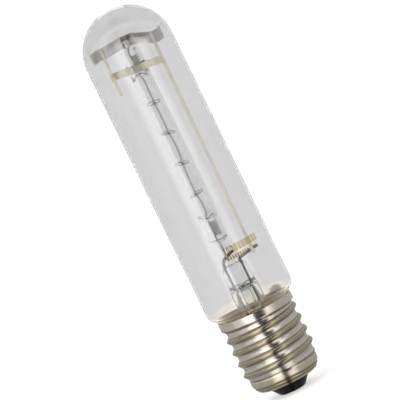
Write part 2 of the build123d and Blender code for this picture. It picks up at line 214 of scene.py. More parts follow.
def finish(name, clean, tarnished, amount, patch, stretch, smooth, rough):
    """Starts a material of two tones, with marks in its gloss. Gives its shader and the marks' height too."""
    material = bpy.data.materials.new(name)
    material.use_nodes = True
    tree = material.node_tree
    shader = tree.nodes["Principled BSDF"]
    tones = {"Clean": (*clean, 1.0), "Tarnished": (*tarnished, 1.0), "Scale": patch, "Amount": amount}
    tone = add_node(tree, "Group", tones, node_tree=tarnish)
    gloss = {"Stretch": stretch, "Low": smooth, "High": rough}
    marks = add_node(tree, "Group", gloss, node_tree=worked_surface)
    tree.links.new(tone.outputs["Color"], shader.inputs["Base Color"])
    tree.links.new(marks.outputs["Value"], shader.inputs["Roughness"])
    return material, shader, marks.outputs["Height"]


def add_relief(material, shader, height, strength, depth):
    """Lets a material's marks stand out of its surface."""
    bump = add_node(material.node_tree, "Bump", {"Strength": strength, "Distance": depth, "Height": height})
    material.node_tree.links.new(bump.outputs["Normal"], shader.inputs["Normal"])


def metal_finish(name, relief=fine_relief, **looks):
    """A bare metal with tarnish in patches and with the marks of how it was worked."""
    material, shader, marks = finish(name, **looks)
    shader.inputs["Metallic"].default_value = 1.0
    add_relief(material, shader, marks, metal_relief_strength, relief)
    return material


along_wire = (5000.0, 5000.0, 300.0)
tungsten = metal_finish(
    "tungsten_wire", clean=(0.76, 0.74, 0.72), tarnished=(0.56, 0.55, 0.53), amount=0.6, patch=900.0,
    stretch=along_wire, smooth=0.3, rough=0.5,
)
filament_low, filament_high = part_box("filament")
coil_bottom = filament_low.z + leg_length
coil_top = filament_high.z - leg_length
coil_turns = round((coil_top - coil_bottom) / coil_pitch)
support_names = [f"filament_support_{number}" for number in range(1, 5)]
support_heights = [sum(corner.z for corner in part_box(name)) / 2 for name in support_names]
held_heights = [coil_bottom, *support_heights, coil_top]


def coil_aside(height):
    """How far the coil stands aside at a height between its two ends."""
    span = 0
    while span < len(coil_bow_between) - 1 and height > held_heights[span + 1]:
        span += 1
    share = clamped((height - held_heights[span]) / (held_heights[span + 1] - held_heights[span]))
    start, end = coil_aside_where_held[span : span + 2]
    return start + (end - start) * share + coil_bow_between[span] * sin(pi * share)


coil_reach = coil_radius - coil_wire
coil_path = []
for step, height in enumerate(spaced(coil_bottom, coil_top, coil_turns * coil_points_per_turn)):
    angle = 2 * pi * step / coil_points_per_turn
    x = coil_aside(height) + coil_reach * cos(angle)
    coil_path.append(Vector((x, coil_reach * sin(angle), height)))
coil = bmesh.new()
add_wire(coil, coil_path, coil_wire, coil_sides)
leg_place = Matrix.Rotation(frame_turn, 3, "Z") @ Vector((0, leg_behind, 0))
for low, high in ((filament_low.z, coil_bottom + leg_entry), (coil_top - leg_entry, filament_high.z)):
    foot = leg_place + Vector((coil_aside(low), 0, 0))
    add_wire(coil, straight(foot + Vector((0, 0, low)), foot + Vector((0, 0, high))), leg_radius)
filament = finished("filament_coil", coil, place=mount_lean)
give(filament, tungsten)
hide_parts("filament")

# Filament supports: short tungsten wires, each wound round the coil and then spread out into a ring
# that springs against the burner's bore and keeps the coil off the quartz. Each has tipped its own way.
support_radius = 0.00019
support_sides = 8
support_inner = 0.0008
support_outer = 0.0034
support_hook = 0.85
support_spread = 0.5
support_turns = 2 * support_hook + support_spread
support_points_per_turn = 32
support_rise = 0.0003
support_set_round = radians(90)
support_tips = [(-9, 8), (11, 8), (11, 8), (2, 10)]


def eased(share):
    """A share held between nought and one, with a soft start and a soft end."""
    share = clamped(share)
    return share * share * (3 - 2 * share)


support_tungsten = metal_finish(
    "support_tungsten", clean=(0.38, 0.37, 0.36), tarnished=(0.24, 0.23, 0.22), amount=0.6, patch=900.0,
    stretch=along_wire, smooth=0.3, rough=0.5,
)
for number, name in enumerate(support_names):
    middle = Vector((0, 0, support_heights[number]))
    held_at = Vector((coil_aside(support_heights[number]), 0, 0))
    sideways, forwards = (radians(angle) for angle in support_tips[number])
    tip = Matrix.Rotation(sideways, 3, "Y") @ Matrix.Rotation(forwards, 3, "X")
    path = []
    for turn in spaced(0, support_turns, round(support_turns * support_points_per_turn)):
        share = eased((turn - support_hook) / support_spread)
        reach = support_inner + (support_outer - support_inner) * share
        angle = 2 * pi * turn + support_set_round * number + frame_turn
        level = Vector((reach * cos(angle), reach * sin(angle), support_rise * (share - 0.5)))
        path.append(middle + held_at * (1 - share) + tip @ level)
    spiral = bmesh.new()
    add_wire(spiral, path, support_radius, support_sides)
    support = finished(f"coil_support_{number + 1}", spiral, place=mount_lean)
    give(support, support_tungsten)
    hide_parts(name)

# Foils and burner leads: the thin molybdenum foils make the gas-tight seal in each pinch, because they
# are the only metal that the quartz grips as it cools. A round lead is welded to the outer end of each.
molybdenum = metal_finish(
    "molybdenum", clean=(0.62, 0.62, 0.6), tarnished=(0.44, 0.43, 0.39), amount=0.7, patch=400.0,
    stretch=along_wire, smooth=0.35, rough=0.55,
)
for name in ("lower_foil", "upper_foil", "lower_burner_lead", "upper_burner_lead"):
    give(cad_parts[name], molybdenum)

# Burner: a tube of clear fused quartz, heated and pinched flat at both ends round the foils.
# The bore between the pinches is closed and holds the filament and the fill gas.
burner_radius = 0.005
burner_bore = 0.0037
burner_sides = 64
pinch_half_width = 0.0054
pinch_half_thickness = 0.0022
pinch_length = 0.0122
pinch_swell = 0.0045
pinch_squareness = 4.0
pinch_rises = [0.003, 0.006, 0.010]
swell_steps = 14
end_rounding = 0.0012
bore_end_wall = 0.0008
bore_end_radius = 0.0026
bore_end_steps = 10
ellipse = 2.0
on_axis = 1e-7
burner_low, burner_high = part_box("burner_tube")


def oval(half_width, half_depth, squareness, height, sides):
    """A level ring of points, from an ellipse to a box with rounded corners as squareness grows."""
    ring = []
    for side in range(sides):
        angle = 2 * pi * side / sides
        c, s = cos(angle), sin(angle)
        reach = (abs(c) ** squareness + abs(s) ** squareness) ** (-1 / squareness)
        ring.append(Vector((half_width * c * reach, half_depth * s * reach, height)))
    return ring


def add_skin(shape, rings, closed=False):
    """Adds a skin through rings of points. A ring of one point ends it, and closed joins both ends."""
    corners = [[shape.verts.new(point) for point in ring] for ring in rings]
    for lower, upper in zip(corners, corners[1:] + corners[:1] * closed):
        if len(lower) == 1:
            for side in range(len(upper)):
                shape.faces.new((lower[0], upper[(side + 1) % len(upper)], upper[side]))
        elif len(upper) == 1:
            for side in range(len(lower)):
                shape.faces.new((lower[side], lower[(side + 1) % len(lower)], upper[0]))
        else:
            add_rings(shape, [lower, upper])


def arc(x, z, radius, start, end, steps):
    """Points of a profile along an arc, between two angles in degrees."""
    angles = [radians(angle) for angle in spaced(start, end, steps)]
    return [(x + radius * cos(angle), z + radius * sin(angle)) for angle in angles]


def turned(profile, sides):
    """The rings of a turned form, from points (radius, height) of its profile."""
    rings = []
    for radius, height in profile:
        if radius < on_axis:
            rings.append([Vector((0, 0, height))])
        else:
            rings.append(oval(radius, radius, ellipse, height, sides))
    return rings


def burner_ring(height):
    """The burner's outline at a height: flat in the pinches and round between them."""
    into = min(height - burner_low.z, burner_high.z - height)
    share = eased((into - pinch_length) / pinch_swell)
    width = pinch_half_width + (burner_radius - pinch_half_width) * share
    depth = pinch_half_thickness + (burner_radius - pinch_half_thickness) * share
    squareness = ellipse + (pinch_squareness - ellipse) * (1 - share) ** 2
    return oval(width, depth, squareness, height, burner_sides)


def burner_end(height):
    """The burner's outline at one of its ends, inside the rounded edge."""
    width = pinch_half_width - end_rounding
    depth = pinch_half_thickness - end_rounding
    return oval(width, depth, pinch_squareness, height, burner_sides)


end_rises = [end_rounding, *pinch_rises, *spaced(pinch_length, pinch_length + pinch_swell, swell_steps)]
heights = [burner_low.z + rise for rise in end_rises]
heights += [burner_high.z - rise for rise in reversed(end_rises)]
burner_rings = [[Vector((0, 0, burner_low.z))], burner_end(burner_low.z), *map(burner_ring, heights)]
burner_rings += [burner_end(burner_high.z), [Vector((0, 0, burner_high.z))]]
bore_low = burner_low.z + pinch_length + bore_end_wall
bore_high = burner_high.z - pinch_length - bore_end_wall
bore_end = burner_bore - bore_end_radius
bore_profile = [(0, bore_high)]
bore_profile += arc(bore_end, bore_high - bore_end_radius, bore_end_radius, 90, 0, bore_end_steps)
bore_profile += arc(bore_end, bore_low + bore_end_radius, bore_end_radius, 0, -90, bore_end_steps)
bore_profile += [(0, bore_low)]
quartz_tube = bmesh.new()
add_skin(quartz_tube, burner_rings)
add_skin(quartz_tube, turned(bore_profile, burner_sides))
burner = finished("quartz_burner", quartz_tube, sharp_angle=40, place=mount_place)
haze_amount = 1.0
haze_patch = 120.0


def glass(name, clear, hazed, ior, rough, stretch):
    """Clear glass with a faint haze in patches and with drawing lines in its gloss."""
    material, shader, _ = finish(name, clear, hazed, haze_amount, haze_patch, stretch, 0.0, rough)
    shader.inputs["IOR"].default_value = ior
    shader.inputs["Transmission Weight"].default_value = 1.0
    return material


quartz = glass(
    "fused_quartz", clear=(0.99, 0.99, 0.99), hazed=(0.97, 0.97, 0.97), ior=1.46, rough=0.03,
    stretch=(900.0, 900.0, 40.0),
)
give(burner, quartz)
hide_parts("burner_tube")

# Stem: a glass tube flared into a bell, which is melted to the bulb's neck, and pressed flat at its top
# round the two leads. The exhaust tube goes through its middle and is sealed off at its tip.
stem_radius = 0.0075
stem_wall = 0.0012
stem_bore = stem_radius - stem_wall
stem_sides = 72
bell_edge = 0.0156
bell_radius = bell_edge - stem_radius
bell_top = 0.040
bell_steps = 16
press_half_width = 0.0069
press_half_depth = 0.0028
press_corner = 0.0036
press_height = 0.013
press_swell = 0.0028
press_squareness = 2.8
press_top_round = 0.0016
press_steps = 40
exhaust_radius = 0.003
exhaust_bore = 0.0021
exhaust_tip_length = 0.002
exhaust_tip_closing = 0.0004
port_rise = 0.0025
crotch_steps = 6
stem_low, stem_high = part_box("glass_stem")
exhaust_tip = stem_low.z
press_top = stem_high.z
press_bottom = press_top - press_height


def rounded_off(over, radius):
    """How far a rounding of some radius has drawn a side in, over the height where it starts."""
    return radius - sqrt(max(radius**2 - max(over, 0) ** 2, 0))


def press_ring(height):
    """The stem's outline from its round tube up into the flat press."""
    share = 1 - (1 - clamped((height - press_bottom) / press_swell)) ** 2
    rounding = rounded_off(height - (press_top - press_corner), press_corner)
    crowning = rounded_off(height - (press_top - press_top_round), press_top_round)
    width = stem_radius + (press_half_width - rounding - stem_radius) * share
    depth = stem_radius + (press_half_depth - crowning - stem_radius) * share
    squareness = ellipse + (press_squareness - ellipse) * share
    return oval(width, depth, squareness, height, stem_sides)


tip_start = exhaust_tip + exhaust_tip_length
stem_profile = [(0, press_bottom + port_rise), (exhaust_bore, press_bottom + port_rise)]
stem_profile += [(exhaust_bore, tip_start), (exhaust_bore - exhaust_tip_closing, exhaust_tip)]
stem_profile += [(exhaust_bore, exhaust_tip), (exhaust_radius, tip_start)]
stem_profile += [(exhaust_radius, press_bottom - stem_wall)]
stem_profile += arc(stem_bore - stem_wall, press_bottom - stem_wall, stem_wall, 90, 0, crotch_steps)
stem_profile += arc(bell_edge, bell_top, bell_radius + stem_wall, 180, 270, bell_steps)
stem_profile += arc(bell_edge, bell_top, bell_radius, 270, 180, bell_steps)
stem_rings = turned(stem_profile, stem_sides)
stem_rings += [press_ring(height) for height in spaced(press_bottom, press_top, press_steps)]
stem_rings += [[Vector((0, 0, press_top))]]
stem_shape = bmesh.new()
add_skin(stem_shape, stem_rings)
stem = finished("pressed_stem", stem_shape, sharp_angle=60)
stem_glass = glass(
    "stem_glass", clear=(0.985, 0.985, 0.985), hazed=(0.95, 0.95, 0.95), ior=1.52, rough=0.05,
    stretch=(700.0, 700.0, 120.0),
)
give(stem, stem_glass)
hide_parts("glass_stem")

# Stem leads: two stiff nickel wires stand on the thinner wires that are sealed in the press. The left one
# bends across to the burner's lower lead, and the right one runs out to the long rod.
# Copper-clad wires carry on below the press.
lead_radius = 0.0008
lead_sides = 16
lead_bend = 0.0016
lead_bend_steps = 8
longest_bend_share = 0.45
straight_enough = radians(80)
cross_start = 0.0029
cross_behind = 0.00127
cross_rise = 0.0034
cross_slope = 0.0023
cross_end = 0.003
lead_x = 0.0042
arm_foot_rise = 0.0012
seal_radius = 0.0005
seal_drop = 0.0008


def bent(corners, radius, steps):
    """Close-set points along straight runs, with each corner bent as far as its runs leave room."""
    path = [corners[0]]
    for before, corner, after in zip(corners, corners[1:], corners[2:]):
        back = before - corner
        on = after - corner
        half = back.angle(on) / 2
        if half > straight_enough:
            path.append(corner)
            continue
        setback = min(radius / tan(half), longest_bend_share * min(back.length, on.length))
        centre = corner + (back.normalized() + on.normalized()).normalized() * (setback / cos(half))
        first = corner + back.normalized() * setback - centre
        last = corner + on.normalized() * setback - centre
        for share in spaced(0, 1, steps):
            path.append(centre + first.lerp(last, share).normalized() * setback * tan(half))
    return path + [corners[-1]]


left_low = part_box("inner_lead_left")[0]
right_low, right_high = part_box("inner_lead_right")
left_corners = [
    Vector((-lead_x, 0, left_low.z)),
    Vector((-lead_x, 0, press_top + arm_foot_rise)),
    Vector((-cross_start, cross_behind, press_top + cross_rise)),
    Vector((cross_end, cross_behind, press_top + cross_rise + cross_slope)),
]
right_corners = [
    Vector((lead_x, 0, right_low.z)),
    Vector((lead_x, 0, press_top + arm_foot_rise)),
    Vector((right_high.x - lead_radius, right_low.y + lead_radius, right_high.z - lead_radius)),
]
lead_nickel = metal_finish(
    "lead_nickel", clean=(0.2, 0.15, 0.05), tarnished=(0.1, 0.07, 0.02), amount=0.8, patch=350.0,
    stretch=along_wire, smooth=0.25, rough=0.45,
)
for name, node, corners in (
    ("cross_lead", "inner_lead_left", left_corners),
    ("rod_lead", "inner_lead_right", right_corners),
):
    foot = corners[0].copy()
    seal_top = Vector((foot.x, foot.y, press_top - seal_drop))
    shape = bmesh.new()
    add_wire(shape, straight(foot, seal_top), seal_radius, lead_sides)
    corners[0].z = press_top - 2 * seal_drop
    add_wire(shape, bent(corners, lead_bend, lead_bend_steps), lead_radius, lead_sides)
    lead = finished(name, shape)
    give(lead, lead_nickel)
    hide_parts(node)
copper_clad = metal_finish(
    "copper_clad", clean=(0.07, 0.045, 0.03), tarnished=(0.035, 0.022, 0.014), amount=0.8, patch=350.0,
    stretch=along_wire, smooth=0.3, rough=0.5,
)
for name in ("outer_lead_centre", "outer_lead_side"):
    give(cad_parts[name], copper_clad)

# Frame: a long nickel-plated rod, welded to the right lead, and a short post opposite it.
# Between them they hold the clamp and the spring strip, and the rod carries the current to the top.
frame_reach = 0.0174
frame_wire = 0.0008
frame_sides = 24
plated_wire = metal_finish(
    "plated_wire", clean=(0.92, 0.86, 0.72), tarnished=(0.72, 0.65, 0.49), amount=0.6, patch=260.0,
    stretch=along_wire, smooth=0.12, rough=0.26,
)
for name, node, x in (("long_rod", "frame_rod", frame_reach), ("short_post", "frame_post", -frame_reach)):
    low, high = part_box(node)
    shape = bmesh.new()
    add_wire(shape, straight(Vector((x, 0, low.z)), Vector((x, 0, high.z))), frame_wire, frame_sides)
    wire = finished(name, shape, place=mount_place)
    give(wire, plated_wire)
    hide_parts(node)

# Spring strip: thin steel rolled flat and polished, bent by hand over the sleeve and welded to both wires.
# Its two ends curl round into leaves that press on the glass and steady the whole mount in the dome.
# The right half is coloured darker towards the rod. A painted reflection lightens the middle of the right
# half, and a painted shade darkens its upper edge there.
strip_thickness = 0.0003
strip_edge = 0.00008
strip_bend = 0.0012
strip_bend_steps = 8
strip_flat = 0.003
strip_behind = 0.00082
strip_over_sleeve = 0.00162
strip_lift_start = 0.0072
strip_lift_half_width = 0.0036
strip_left_end = -0.0198
strip_right_end = 0.0182
strip_left_drop = 0.0017
strip_right_drop = 0.0033
leaf_turn = radians(71)
leaf_bow = 0.0024
leaf_steps = 14
leaf_clearance = 0.0006
# The right half is coloured darker from here towards the rod.
rod_darkening_start = 0.0085
rod_darkening_end = 0.0125
darkening_and_shade_tone = (0.4, 0.385, 0.36)
# Painted shade along the upper edge of the right half.
edge_shade_depth = 0.0022
edge_shade_fade = 0.0004
# Painted reflection: a lighter stretch across the middle of the right half.
painted_reflection_left = 0.0042
painted_reflection_right = 0.0125
painted_reflection_fade = 0.0012
painted_reflection_tone = (1.0, 0.99, 0.98)
bulb_wall = 0.001
bulb_low, bulb_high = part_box("outer_bulb")
bulb_radius = bulb_high.x
dome_height = bulb_high.z - bulb_radius


def add_strip(shape, line, thickness, height, edge):
    """Adds a strip of sheet that stands on edge along close-set points, with softened edges."""
    section = [(edge, -height / 2), (thickness - edge, -height / 2)]
    section += [(thickness, edge - height / 2), (thickness, height / 2 - edge)]
    section += [(thickness - edge, height / 2), (edge, height / 2)]
    section += [(0, height / 2 - edge), (0, edge - height / 2)]
    rings = []
    for index, point in enumerate(line):
        along = line[min(index + 1, len(line) - 1)] - line[max(index - 1, 0)]
        across = Vector((-along.y, along.x, 0)).normalized()
        rings.append([shape.verts.new(point + across * left + Vector((0, 0, up))) for left, up in section])
    add_rings(shape, rings)
    shape.faces.new(rings[0][::-1])
    shape.faces.new(rings[-1])


def leaf(start, side):
    """Points along one leaf, bowed outwards from the strip's end to a tip near the glass."""
    over = max(start.z + strip_height / 2 - dome_height, 0)
    reach = sqrt((bulb_radius - bulb_wall) ** 2 - over**2) - leaf_clearance
    tip = side * reach * Vector((cos(leaf_turn), sin(leaf_turn), 0)) + Vector((0, 0, start.z))
    chord = tip - start
    outwards = side * Vector((abs(chord.y), abs(chord.x), 0)).normalized()
    shares = spaced(0, 1, leaf_steps)[1:]
    return [start + chord * share + outwards * leaf_bow * 4 * share * (1 - share) for share in shares]


def strip_middle(x):
    """The height of the strip's middle line: level over the sleeve, and sloping to both ends."""
    drop = strip_left_drop if x < 0 else strip_right_drop
    return lean_height - drop * clamped((abs(x) - strip_flat) / (frame_reach - strip_flat))


class Reading:
    """A number read at each point of a surface, such as a height, an angle or a mask.
    Sums on readings become nodes of the material that they belong to."""

    def __init__(self, tree, socket):
        self.tree = tree
        self.socket = socket

    def worked(self, operation, first, second=0.0):
        """The result of one kind of sum on numbers, of which any may be a reading."""
        numbers = [number.socket if isinstance(number, Reading) else number for number in (first, second)]
        made = add_node(self.tree, "Math", dict(enumerate(numbers)), operation=operation)
        return Reading(self.tree, made.outputs["Value"])

    def __add__(self, other):
        return self.worked("ADD", self, other)

    def __sub__(self, other):
        return self.worked("SUBTRACT", self, other)

    def __rsub__(self, other):
        return self.worked("SUBTRACT", other, self)

    def __mul__(self, other):
        return self.worked("MULTIPLY", self, other)

    def __truediv__(self, other):
        return self.worked("DIVIDE", self, other)

    def larger(self, other):
        """The larger of two numbers at each point."""
        return self.worked("MAXIMUM", self, other)

    def ramp(self, low, high):
        """Nought at a low value, one at a high one, and a soft step between them."""
        limits = {"Value": self.socket, "From Min": low, "From Max": high}
        made = add_node(self.tree, "MapRange", limits, interpolation_type="SMOOTHSTEP")
        return Reading(self.tree, made.outputs["Result"])

    def below(self, edge, softness):
        """One below an edge, and nought above it."""
        return self.ramp(edge + softness, edge - softness)

    def within(self, low, high, softness):
        """One between two values, and nought outside them."""
        return self.ramp(low - softness, low + softness) * self.below(high, softness)


def surface_place(material):
    """Where each point of a surface lies: its x, y and z in the lamp's own measures."""
    point = add_node(material.node_tree, "TexCoord").outputs["Object"]
    split = add_node(material.node_tree, "SeparateXYZ", {"Vector": point})
    return [Reading(material.node_tree, split.outputs[axis]) for axis in "XYZ"]


def tint(material, tone, mask):
    """Takes a material's base colour over to a tone by a mask."""
    tree = material.node_tree
    base = tree.nodes["Principled BSDF"].inputs["Base Color"]
    tones = {"Factor": mask.socket, "A": base.links[0].from_socket, "B": (*tone, 1.0)}
    mix = add_node(tree, "Mix", tones, data_type="RGBA")
    tree.links.new(mix.outputs["Result"], base)


strip_plan = [
    (strip_left_end, strip_behind),
    (2 * frame_wire - frame_reach, strip_behind),
    (-strip_lift_start, strip_behind),
    (-strip_lift_half_width, strip_over_sleeve),
    (strip_lift_half_width, strip_over_sleeve),
    (frame_reach - 2 * frame_wire, strip_behind),
    (strip_right_end, strip_behind),
]
strip_run = [Vector((x, y, strip_middle(x))) for x, y in strip_plan]
strip_corners = [*leaf(strip_run[0], -1)[::-1], *strip_run, *leaf(strip_run[-1], 1)]
strip_shape = bmesh.new()
strip_line = bent(strip_corners, strip_bend, strip_bend_steps)
add_strip(strip_shape, strip_line, strip_thickness, strip_height, strip_edge)
strip = finished("bent_strip", strip_shape, sharp_angle=35, place=mount_place)
along_strip = (900.0, 900.0, 6000.0)
polished_strip = metal_finish(
    "polished_strip", clean=(0.82, 0.81, 0.79), tarnished=(0.64, 0.62, 0.58), amount=0.5, patch=220.0,
    stretch=along_strip, smooth=0.08, rough=0.2,
)
strip_x, _, strip_z = surface_place(polished_strip)
strip_slope = strip_right_drop / ((frame_reach - strip_flat) * cos(frame_turn))
edge_start = lean_height + strip_height / 2 + strip_slope * strip_flat * cos(frame_turn)
below_edge = edge_start - strip_x * strip_slope - strip_z
# Painted reflection lightens the middle of the right half, and painted shade darkens its upper edge there.
painted_reflection = strip_x.within(painted_reflection_left, painted_reflection_right, painted_reflection_fade)
painted_edge_shade = below_edge.below(edge_shade_depth, edge_shade_fade) * painted_reflection
tint(polished_strip, painted_reflection_tone, painted_reflection)
# The right half goes darker towards the rod, and the same dark tone carries the painted shade of the upper
# edge.
tint(polished_strip, darkening_and_shade_tone, strip_x.ramp(rod_darkening_start, rod_darkening_end).larger(painted_edge_shade))
give(strip, polished_strip)
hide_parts("spring_strip")

# Sleeve: a short steel tube that is pushed over the burner's upper lead, against the strip,
# and then crimped flat near its top so that it grips the lead.
sleeve_radius = 0.0016
sleeve_bore = 0.0005
sleeve_sides = 40
sleeve_steps = 24
sleeve_rounding = 0.0002
crimp_start = 0.45
crimp_start_length = 0.15
crimp_end = 0.97
crimp_end_length = 0.1
crimp_flattening = 0.4
crimp_widening = 0.14
sleeve_low, sleeve_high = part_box("lead_sleeve")
# The sleeve is coloured darker above this share of its height.
dark_top_share = 0.6
dark_top_from = sleeve_low.z + dark_top_share * (sleeve_high.z - sleeve_low.z)
dark_top_fade = 0.0006
dark_top_tone = (0.13, 0.15, 0.16)


def sleeve_ring(share):
    """The sleeve's outline at a share of its height: round below and squeezed flat near the top."""
    squeeze = clamped((share - crimp_start) / crimp_start_length)
    squeeze = eased(squeeze * clamped((crimp_end - share) / crimp_end_length))
    width = sleeve_radius * (1 + crimp_widening * squeeze)
    depth = sleeve_radius * (1 - crimp_flattening * squeeze)
    height = sleeve_low.z + (sleeve_high.z - sleeve_low.z) * share
    return oval(width, depth, ellipse + squeeze, height, sleeve_sides)


sleeve_rim = sleeve_radius - sleeve_rounding
sleeve_rings = turned([(sleeve_bore, sleeve_low.z), (sleeve_rim, sleeve_low.z)], sleeve_sides)
sleeve_rings += [sleeve_ring(share) for share in spaced(0, 1, sleeve_steps)[1:-1]]
sleeve_rings += turned([(sleeve_rim, sleeve_high.z), (sleeve_bore, sleeve_high.z)], sleeve_sides)
sleeve_shape = bmesh.new()
add_skin(sleeve_shape, sleeve_rings, closed=True)
sleeve = finished("crimped_sleeve", sleeve_shape, sharp_angle=40, place=mount_place)
crimped_steel = metal_finish(
    "crimped_steel", relief=0.00002, clean=(0.85, 0.8, 0.72), tarnished=(0.5, 0.45, 0.38), amount=0.8,
    patch=500.0, stretch=along_strip, smooth=0.1, rough=0.28,
)
sleeve_rise = surface_place(crimped_steel)[2]
# Darker towards the top: the sleeve's upper part is coloured a dark blue-grey.
tint(crimped_steel, dark_top_tone, sleeve_rise.ramp(dark_top_from, dark_top_from + dark_top_fade))
give(sleeve, crimped_steel)
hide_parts("lead_sleeve")

# Clamp: two straps of nickel-plated strip, pressed to fit the upper pinch and welded together beside it.
# The front one hooks round the post at its left and is welded to the rod at its right.
# The heat of the pinch has dulled their middles.
strap_thickness = 0.0004
strap_height = 0.0037
strap_edge = 0.0001
strap_bend = 0.0005
strap_bend_steps = 6
strap_behind = 0.00082
strap_hook = 0.0009
strap_inner = 0.0062
strap_outer = 0.0076
strap_end = 0.0188
strap_tab = 0.0036
pinch_behind = 0.00225
strap_gap = 0.00002
heated_reach = 0.0062
heated_fade = 0.0014
heated_tone = (0.52, 0.49, 0.36)
strap_middle = sum(corner.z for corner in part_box("clamp_front_strap")) / 2
front_plan = [
    (strap_hook - frame_reach, -strap_behind),
    (-frame_reach - strap_behind, -strap_behind),
    (-frame_reach - strap_behind, strap_behind),
    (-strap_outer, strap_behind),
    (-strap_inner, -pinch_behind - strap_thickness),
    (strap_inner, -pinch_behind - strap_thickness),
    (strap_outer, -strap_behind - strap_thickness),
    (strap_end, -strap_behind - strap_thickness),
]
rear_plan = [
    (-strap_outer - strap_tab, strap_behind + strap_thickness + strap_gap),
    (-strap_outer, strap_behind + strap_thickness + strap_gap),
    (-strap_inner, pinch_behind),
    (strap_inner, pinch_behind),
    (strap_outer, strap_gap - strap_behind),
    (strap_outer + strap_tab, strap_gap - strap_behind),
]


def distance_out(x, y):
    """How far each point of a surface lies from the lamp's axis."""
    squares = x * x + y * y
    return squares.worked("SQRT", squares)


plated_strap = metal_finish(
    "plated_strap", clean=(0.9, 0.84, 0.64), tarnished=(0.6, 0.53, 0.34), amount=0.8, patch=260.0,
    stretch=along_strip, smooth=0.14, rough=0.3,
)
strap_x, strap_y, _ = surface_place(plated_strap)
tint(plated_strap, heated_tone, distance_out(strap_x, strap_y).below(heated_reach, heated_fade))
for name, node, plan in (
    ("front_strap", "clamp_front_strap", front_plan),
    ("rear_strap", "clamp_rear_strap", rear_plan),
):
    line = bent([Vector((x, y, strap_middle)) for x, y in plan], strap_bend, strap_bend_steps)
    shape = bmesh.new()
    add_strip(shape, line, strap_thickness, strap_height, strap_edge)
    strap = finished(name, shape, sharp_angle=35, place=mount_place)
    give(strap, plated_strap)
    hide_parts(node)

# Outer bulb: soda-lime tube, blown into a round dome at one end and necked in at the other.
# The neck is melted to the stem's bell and goes into the cap, and its glass there is painted lighter and
# warmer, as painted light standing in for the lit cement behind it.
# Two rows of plain gold marks are printed on its front, and the neck has a soft dark patch at one side.
bulb_sides = 160
neck_radius = 0.0166
neck_blend = 0.0117
neck_height = 0.03888
shoulder_radius = 0.005
shoulder_steps = 14
dome_steps = 32
slope = acos(1 - (bulb_radius - neck_radius) / (neck_blend + shoulder_radius))
shoulder_height = neck_height + (neck_blend + shoulder_radius) * sin(slope)
mark_rows = [(0.0778, 0.0812, 0.0021, 0.0), (0.0746, 0.0764, 0.0014, 0.007)]
mark_left = -0.0015
mark_right = 0.018
mark_share = 0.7
mark_stroke = 0.0005
mark_softness = 0.00012
mark_gold = (0.4, 0.29, 0.015)
# A soft dark patch low on the neck at one side.
dark_patch_angle = 0.64
dark_patch_height = 0.0508
dark_patch_half_angle = 0.2
dark_patch_half_height = 0.0036
dark_patch_edge = 1.2
dark_patch_core = 0.3
dark_patch_strength = 0.72
dark_patch_tone = (0.12, 0.12, 0.08)
# Painted light: the neck's glass is made lighter and warmer, standing in for the lit cement behind it.
neck_painted_light_tone = (1.0, 0.94, 0.78)
neck_painted_light_top = 0.0503
neck_painted_light_fade = 0.0012


def bulb_profile(inset):
    """The bulb's section from its neck to the top of its dome, taken inwards by an inset."""
    turn = degrees(slope)
    shoulder = bulb_radius - shoulder_radius
    points = [(neck_radius - inset, bulb_low.z)]
    points += arc(neck_radius + neck_blend, neck_height, neck_blend + inset, 180, 180 - turn, shoulder_steps)
    points += arc(shoulder, shoulder_height, shoulder_radius - inset, -turn, 0, shoulder_steps)[1:]
    points += [(bulb_radius - inset, (shoulder_height + dome_height) / 2)]
    points += arc(0, dome_height, bulb_radius - inset, 0, 90, dome_steps)
    return points


def angle_round(x, y):
    """The angle of each point of a surface round the lamp's axis, from the front."""
    return x.worked("ARCTAN2", x, y * -1.0)


def gold_row(around, height, bottom, top, pitch, stop_short):
    """One row of small plain frames, printed round the front of the bulb."""
    step = around / pitch
    along = step.worked("FRACT", step) * pitch
    right = mark_share * pitch
    outside = along.within(mark_softness, right, mark_softness)
    outside = outside * height.within(bottom, top, mark_softness)
    inside = along.within(mark_stroke, right - mark_stroke, mark_softness)
    inside = inside * height.within(bottom + mark_stroke, top - mark_stroke, mark_softness)
    row_end = mark_right - stop_short
    return (outside - inside) * around.ramp(row_end, row_end - mark_softness)


def neck_dark_patch(angle, height):
    """A soft dark patch low on the neck, at one side."""
    aside = (angle - dark_patch_angle) / dark_patch_half_angle
    above = (height - dark_patch_height) / dark_patch_half_height
    return (aside * aside + above * above).ramp(dark_patch_edge, dark_patch_core) * dark_patch_strength


bulb_shape = bmesh.new()
add_skin(bulb_shape, turned(bulb_profile(bulb_wall)[::-1] + bulb_profile(0), bulb_sides))
bulb = finished("glass_bulb", bulb_shape, sharp_angle=60)
bulb_glass = glass(
    "bulb_glass", clear=(0.78, 0.778, 0.782), hazed=(0.76, 0.758, 0.764), ior=1.5, rough=0.02,
    stretch=(300.0, 300.0, 12.0),
)
bulb_glass.node_tree.nodes["Principled BSDF"].inputs["Coat Weight"].default_value = 1.0
bulb_x, bulb_y, bulb_rise = surface_place(bulb_glass)
bulb_angle = angle_round(bulb_x, bulb_y)
bulb_around = bulb_angle * bulb_radius
upper_row, lower_row = (gold_row(bulb_around, bulb_rise, *row) for row in mark_rows)
print_field = bulb_around.within(mark_left, mark_right, mark_softness)
tint(bulb_glass, mark_gold, upper_row.larger(lower_row) * print_field)
tint(bulb_glass, dark_patch_tone, neck_dark_patch(bulb_angle, bulb_rise))
# Painted light: the neck's glass below its top is lighter and warmer, for the lit cement seen through it.
tint(bulb_glass, neck_painted_light_tone, bulb_rise.below(neck_painted_light_top, neck_painted_light_fade))
give(bulb, bulb_glass)
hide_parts("outer_bulb")

